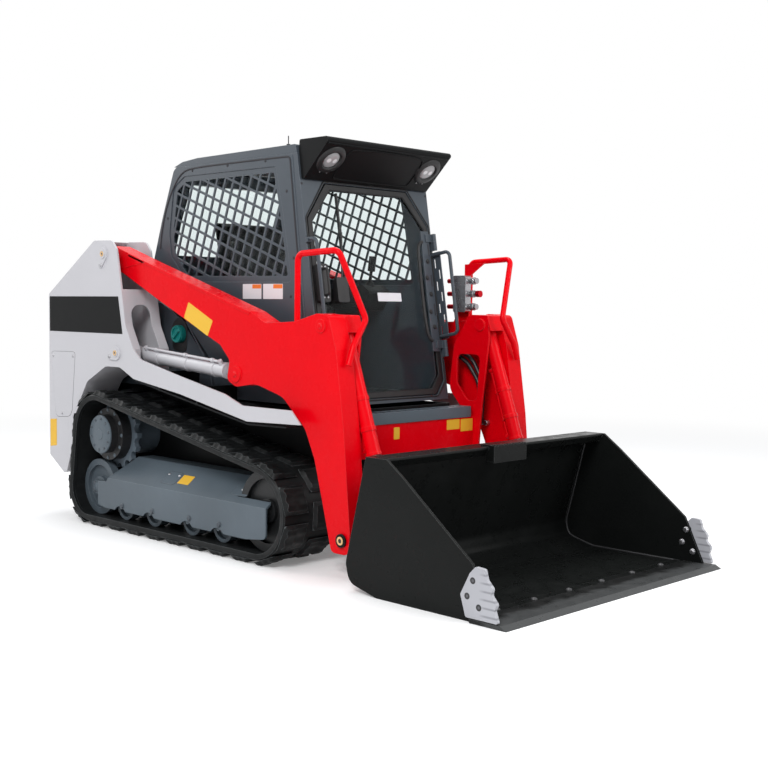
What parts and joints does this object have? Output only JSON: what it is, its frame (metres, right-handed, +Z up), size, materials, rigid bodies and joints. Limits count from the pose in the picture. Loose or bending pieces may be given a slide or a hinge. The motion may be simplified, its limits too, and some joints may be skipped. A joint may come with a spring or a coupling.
{
  "type": "compact track loader",
  "caption": "Compact track loader with rubber tracks, a closed tilting cab, radial lift arms and a general-purpose bucket.",
  "frame": {"origin": "on the ground, in the middle of the machine's length and width, bucket down", "axes": "+X forwards towards the bucket, +Y to the machine's left, +Z up"},
  "size_m": [3.36, 1.575, 1.993],
  "materials": {
    "body_white": "gloss",
    "body_red": "gloss",
    "cab_grey": "satin",
    "black_paint": "satin",
    "frame_grey": "satin",
    "bright_steel": "worn bright",
    "track_rubber": "matte",
    "glass": "clear",
    "black_plastic": "matte",
    "seat_vinyl": "satin",
    "lamp_lens": "clear",
    "red_lens": "gloss",
    "cap_teal": "gloss",
    "cast_grey": "as cast, painted"
  },
  "bodies": {
    "chassis": {"main_frame": "frame_grey", "engine_housing": "cab_grey", "tower_left": "body_white", "tower_right": "body_white", "fender_left": "frame_grey", "fender_right": "frame_grey", "hood": "body_white", "engine": "cast_grey", "fuel_cap": "cap_teal", "tail_lamps": "red_lens", "track_left": "track_rubber", "track_right": "track_rubber", "track_frame_left": "frame_grey", "track_frame_right": "frame_grey", "drive_sprocket_left": "cast_grey", "drive_sprocket_right": "cast_grey", "idlers_left": "cast_grey", "idlers_right": "cast_grey", "rollers_left": "cast_grey", "rollers_right": "cast_grey"},
    "cab": {"cab_frame": "cab_grey", "cab_roof": "cab_grey", "visor": "black_paint", "work_lamps": "lamp_lens", "cab_windows": "glass", "side_screens": "black_paint", "seat": "seat_vinyl", "control_consoles": "black_plastic", "control_levers": "black_plastic", "grab_handle": "black_paint", "entry_handle": "cab_grey", "aerial": "black_plastic"},
    "cab_door": {"cab_door_frame": "black_paint", "cab_door_glass": "glass", "cab_door_hinge": "cab_grey", "cab_door_latch": "black_plastic", "wiper": "black_plastic"},
    "rear_door": {"rear_door": "body_white"},
    "lift_arms": {"lift_arm_left": "body_red", "lift_arm_right": "body_red", "arm_crossmember": "body_red", "front_step": "frame_grey", "guard_hoops": "body_red", "coupler_bracket": "body_red", "couplers": "bright_steel", "arm_hoses": "track_rubber"},
    "lift_barrel_left": {"lift_barrel_left": "body_white"},
    "lift_barrel_right": {"lift_barrel_right": "body_white"},
    "lift_rod_left": {"lift_rod_left": "bright_steel"},
    "lift_rod_right": {"lift_rod_right": "bright_steel"},
    "tilt_barrel_left": {"tilt_barrel_left": "body_red"},
    "tilt_barrel_right": {"tilt_barrel_right": "body_red"},
    "tilt_rod_left": {"tilt_rod_left": "bright_steel"},
    "tilt_rod_right": {"tilt_rod_right": "bright_steel"},
    "bucket": {"attachment_plate": "black_paint", "bucket_shell": "black_paint", "cutting_edge": "black_paint", "side_cutters": "bright_steel"}
  },
  "joints": [
    {"name": "lift_arm_hinge", "type": "hinge", "parent": "chassis", "child": "lift_arms", "pos_m": [-1.124, 0, 1.447], "axis": [0, -1, 0], "range_deg": [0, 77]},
    {"name": "bucket_hinge", "type": "hinge", "parent": "lift_arms", "child": "bucket", "pos_m": [0.645, 0, 0.17], "axis": [0, 1, 0], "range_deg": [-25, 119]},
    {"name": "cab_hinge", "type": "hinge", "parent": "chassis", "child": "cab", "pos_m": [-1, 0, 1.225], "axis": [0, 1, 0], "range_deg": [-45, 0]},
    {"name": "cab_door_hinge", "type": "hinge", "parent": "cab", "child": "cab_door", "pos_m": [0.25194, 0.428, 1.20455], "axis": [-0.1624, 0, 0.9867], "range_deg": [0, 85]},
    {"name": "rear_door_hinge", "type": "hinge", "parent": "chassis", "child": "rear_door", "pos_m": [-1.669, 0.468, 0.81], "axis": [0, 0, -1], "range_deg": [0, 95]},
    {"name": "lift_barrel_hinge_left", "type": "hinge", "parent": "chassis", "child": "lift_barrel_left", "pos_m": [-1.005, 0.59, 0.93], "axis": [0, -1, 0], "range_deg": [0, 70]},
    {"name": "lift_rod_slide_left", "type": "slide", "parent": "lift_barrel_left", "child": "lift_rod_left", "axis": [0.9971, 0, -0.0764], "range_m": [0, 0.65]},
    {"name": "tilt_barrel_hinge_left", "type": "hinge", "parent": "lift_arms", "child": "tilt_barrel_left", "pos_m": [0.503, 0.5, 1.1], "axis": [0, -1, 0], "range_deg": [-4, 1]},
    {"name": "tilt_rod_slide_left", "type": "slide", "parent": "tilt_barrel_left", "child": "tilt_rod_left", "axis": [0.3315, 0, -0.9435], "range_m": [-0.1, 0.38]},
    {"name": "lift_barrel_hinge_right", "type": "hinge", "parent": "chassis", "child": "lift_barrel_right", "pos_m": [-1.005, -0.59, 0.93], "axis": [0, -1, 0], "range_deg": [0, 70]},
    {"name": "lift_rod_slide_right", "type": "slide", "parent": "lift_barrel_right", "child": "lift_rod_right", "axis": [0.9971, 0, -0.0764], "range_m": [0, 0.65]},
    {"name": "tilt_barrel_hinge_right", "type": "hinge", "parent": "lift_arms", "child": "tilt_barrel_right", "pos_m": [0.503, -0.5, 1.1], "axis": [0, -1, 0], "range_deg": [-4, 1]},
    {"name": "tilt_rod_slide_right", "type": "slide", "parent": "tilt_barrel_right", "child": "tilt_rod_right", "axis": [0.3315, 0, -0.9435], "range_m": [-0.1, 0.38]}
  ],
  "couplings": [
    {"joint": "lift_barrel_hinge_left", "follows": "lift_arm_hinge", "ratio": 0.886},
    {"joint": "lift_rod_slide_left", "follows": "lift_arm_hinge", "m_per_rad": 0.472},
    {"joint": "tilt_barrel_hinge_left", "follows": "bucket_hinge", "ratio": -0.025},
    {"joint": "tilt_rod_slide_left", "follows": "bucket_hinge", "m_per_rad": 0.1775},
    {"joint": "lift_barrel_hinge_right", "follows": "lift_arm_hinge", "ratio": 0.886},
    {"joint": "lift_rod_slide_right", "follows": "lift_arm_hinge", "m_per_rad": 0.472},
    {"joint": "tilt_barrel_hinge_right", "follows": "bucket_hinge", "ratio": -0.025},
    {"joint": "tilt_rod_slide_right", "follows": "bucket_hinge", "m_per_rad": 0.1775}
  ]
}
